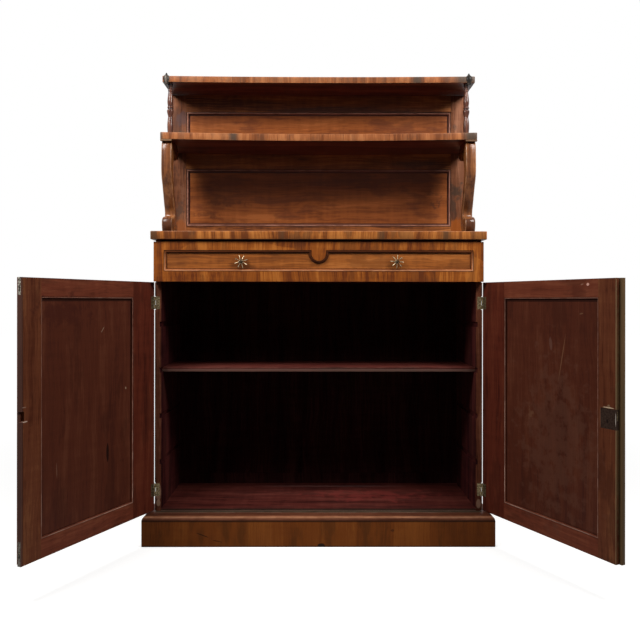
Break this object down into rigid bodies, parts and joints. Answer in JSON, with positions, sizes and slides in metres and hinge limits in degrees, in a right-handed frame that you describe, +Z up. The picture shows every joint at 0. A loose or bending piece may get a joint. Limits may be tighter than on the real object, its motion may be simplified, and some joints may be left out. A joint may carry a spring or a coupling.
{
  "type": "chiffonier",
  "caption": "Low cupboard with a drawer over framed doors on a moulded plinth, under an open panelled back with shelves on scroll supports and turned columns.",
  "frame": {"origin": "middle of the plinth's footprint, on the floor under its middle bearer", "axes": "+X to the right across the front, +Y from the front to the back, +Z up"},
  "size_m": [1.4673, 0.7635, 1.475],
  "materials": {
    "polished_wood": "french polished veneer",
    "door_wood": "dull old varnish",
    "carcass_wood": "stained softwood",
    "brass": "dull lacquered",
    "iron": "dark oxidised"
  },
  "bodies": {
    "carcass": {"plinth_front": "polished_wood", "plinth_side_left": "polished_wood", "plinth_side_right": "polished_wood", "plinth_back": "carcass_wood", "plinth_bearers": "carcass_wood", "plinth_moulding": "polished_wood", "carcass_side_left": "polished_wood", "carcass_side_right": "polished_wood", "cupboard_floor": "door_wood", "dust_board": "carcass_wood", "drawer_top_rail": "carcass_wood", "back_frame": "carcass_wood", "back_panels": "carcass_wood", "top_slab": "polished_wood", "backboard_stiles": "polished_wood", "backboard_rails": "polished_wood", "lower_back_panel": "polished_wood", "upper_back_panel": "polished_wood", "lower_panel_moulding": "polished_wood", "upper_panel_moulding": "polished_wood", "middle_shelf": "polished_wood", "top_shelf": "polished_wood", "scroll_support_left": "polished_wood", "scroll_support_right": "polished_wood", "turned_columns": "polished_wood", "corner_finials": "polished_wood", "carcass_hinge_leaves_left": "brass", "carcass_hinge_leaves_right": "brass"},
    "left_door": {"left_door_hinge_stile": "door_wood", "left_door_meeting_stile": "door_wood", "left_door_top_rail": "door_wood", "left_door_bottom_rail": "door_wood", "left_door_panel": "door_wood", "left_door_inner_bead": "door_wood", "left_door_moulding": "polished_wood", "left_door_hinge_leaves": "brass", "left_door_bolt_plates": "brass"},
    "upper_flush_bolt": {"upper_flush_bolt": "brass"},
    "lower_flush_bolt": {"lower_flush_bolt": "brass"},
    "right_door": {"right_door_hinge_stile": "door_wood", "right_door_meeting_stile": "door_wood", "right_door_top_rail": "door_wood", "right_door_bottom_rail": "door_wood", "right_door_panel": "door_wood", "right_door_inner_bead": "door_wood", "right_door_moulding": "polished_wood", "right_door_hinge_leaves": "brass", "right_door_lock_case": "iron"},
    "lock_bolt": {"lock_bolt": "brass"},
    "drawer": {"drawer_front": "polished_wood", "drawer_moulding": "polished_wood", "drawer_sides": "carcass_wood", "drawer_back": "carcass_wood", "drawer_bottom": "carcass_wood", "drawer_knob_left": "brass", "drawer_knob_right": "brass"},
    "shelf": {"adjustable_shelf": "door_wood"}
  },
  "joints": [
    {"name": "left_door_hinge", "type": "hinge", "parent": "carcass", "child": "left_door", "pos_m": [-0.4985, -0.13, 0.442], "axis": [0, 0, -1], "range_deg": [-115, 65]},
    {"name": "right_door_hinge", "type": "hinge", "parent": "carcass", "child": "right_door", "pos_m": [0.4985, -0.13, 0.442], "axis": [0, 0, 1], "range_deg": [-116, 64]},
    {"name": "drawer_slide", "type": "slide", "parent": "carcass", "child": "drawer", "axis": [0, -1, 0], "range_m": [0, 0.24]},
    {"name": "shelf_slide", "type": "slide", "parent": "carcass", "child": "shelf", "axis": [0, -1, 0], "range_m": [0, 0.2]},
    {"name": "lock_bolt_slide", "type": "slide", "parent": "right_door", "child": "lock_bolt", "axis": [0.4384, -0.8988, 0], "range_m": [0, 0.008]},
    {"name": "upper_flush_bolt_slide", "type": "slide", "parent": "left_door", "child": "upper_flush_bolt", "axis": [0, 0, 1], "range_m": [0, 0.01]},
    {"name": "lower_flush_bolt_slide", "type": "slide", "parent": "left_door", "child": "lower_flush_bolt", "axis": [0, 0, -1], "range_m": [0, 0.009]}
  ]
}
